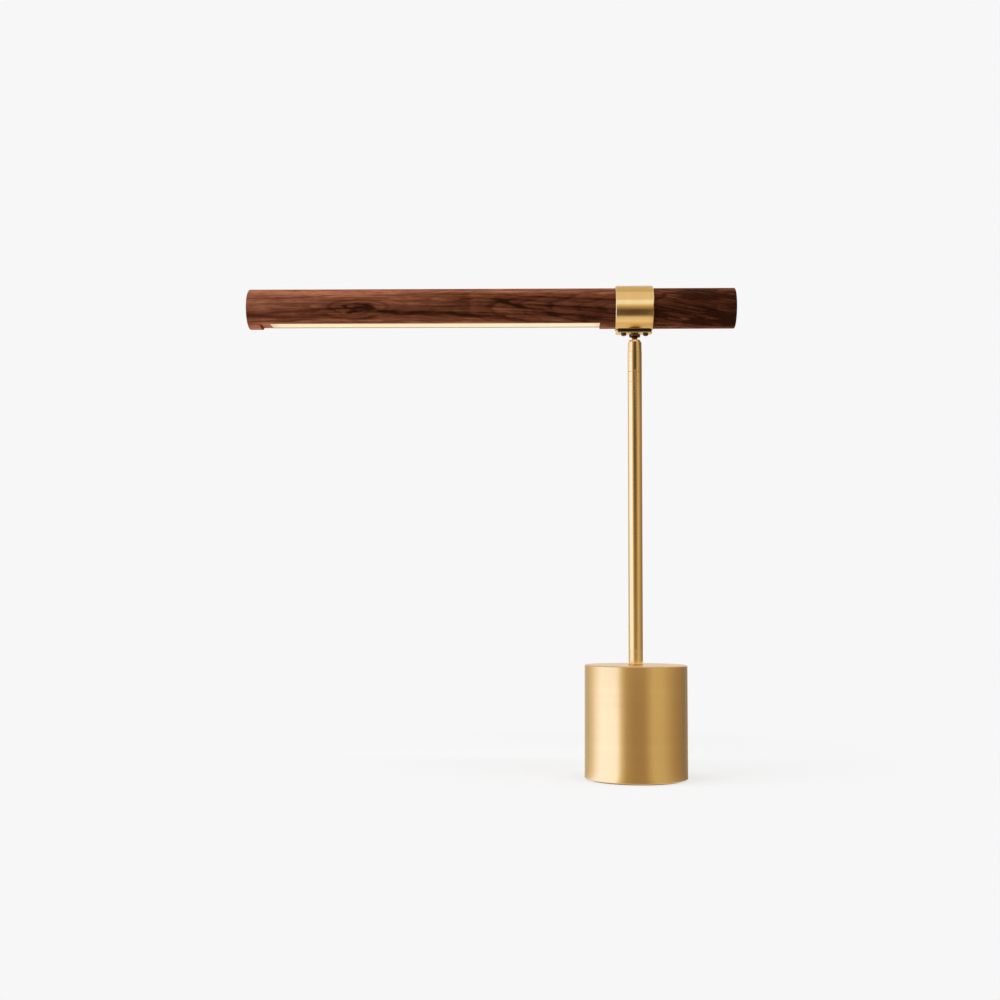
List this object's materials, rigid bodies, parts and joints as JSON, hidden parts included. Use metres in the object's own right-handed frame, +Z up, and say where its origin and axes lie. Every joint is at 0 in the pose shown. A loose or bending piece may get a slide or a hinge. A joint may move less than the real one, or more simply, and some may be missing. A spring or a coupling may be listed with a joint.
{
  "type": "linear table lamp",
  "caption": "Table lamp with a round wooden light bar held off-centre in a brass collar, on a ball joint, slim stem and weighted brass cylinder base.",
  "frame": {"origin": "centre of the pad's underside, on the stem's axis, where the lamp stands on the table", "axes": "+Z up along the stem; the light bar lies along X with its long lit arm towards -X; +Y is the rear, where the cord goes in"},
  "size_m": [0.4854, 0.1011, 0.4864],
  "materials": {
    "satin_brass": "satin, fine turned lines, clear lacquer",
    "bright_steel": "zinc plated",
    "dark_steel": "blackened, lightly oiled",
    "cast_iron": "as cast, faced on both ends",
    "black_felt": "dense felt",
    "black_plastic": "moulded, fine grain",
    "driver_case": "moulded, fine grain",
    "lead_sheath": "extruded sheath",
    "nylon": "natural nylon",
    "black_rubber": "die cut",
    "walnut": "oiled, open grain along the bar",
    "channel_aluminium": "anodised",
    "circuit_board": "white solder mask",
    "led_phosphor": "phosphor over a diode",
    "opal_diffuser": "opal, lit warm white"
  },
  "bodies": {
    "base": {"base_shell": "satin_brass", "base_weight": "cast_iron", "base_plate": "bright_steel", "plate_standoffs": "bright_steel", "plate_screws": "bright_steel", "foot_pad": "black_felt", "cord_gland": "black_plastic", "gland_nut": "black_plastic", "led_driver": "driver_case", "driver_screws": "bright_steel", "tie_tube": "bright_steel", "tie_washer": "bright_steel", "tie_nut": "bright_steel", "stem_tube": "satin_brass", "stem_lead": "lead_sheath", "joint_coupling": "satin_brass"},
    "socket": {"socket_body": "satin_brass", "socket_cap": "satin_brass", "pressure_cup": "satin_brass", "disc_springs": "bright_steel", "swivel_set_screw": "dark_steel"},
    "liner": {"ball_liner": "nylon"},
    "head": {"ball_stud": "dark_steel", "stud_nut": "bright_steel", "saddle_plate": "satin_brass", "collar_gasket": "black_rubber", "saddle_screws": "dark_steel", "collar_ring": "satin_brass", "light_bar": "walnut", "led_profile": "channel_aluminium", "led_board": "circuit_board", "led_chips": "led_phosphor", "diffuser": "opal_diffuser", "profile_end_caps": "channel_aluminium", "profile_screws": "bright_steel", "head_lead": "lead_sheath"}
  },
  "joints": [
    {"name": "head_swivel", "type": "hinge", "parent": "base", "child": "socket", "pos_m": [0, 0, 0.4278], "axis": [0, 0, 1], "range_deg": [-160, 160]},
    {"name": "head_tilt", "type": "hinge", "parent": "socket", "child": "liner", "pos_m": [0, 0, 0.4278], "axis": [0, 1, 0], "range_deg": [-20, 20]},
    {"name": "head_lean", "type": "hinge", "parent": "liner", "child": "head", "pos_m": [0, 0, 0.4278], "axis": [1, 0, 0], "range_deg": [-18, 18]}
  ]
}
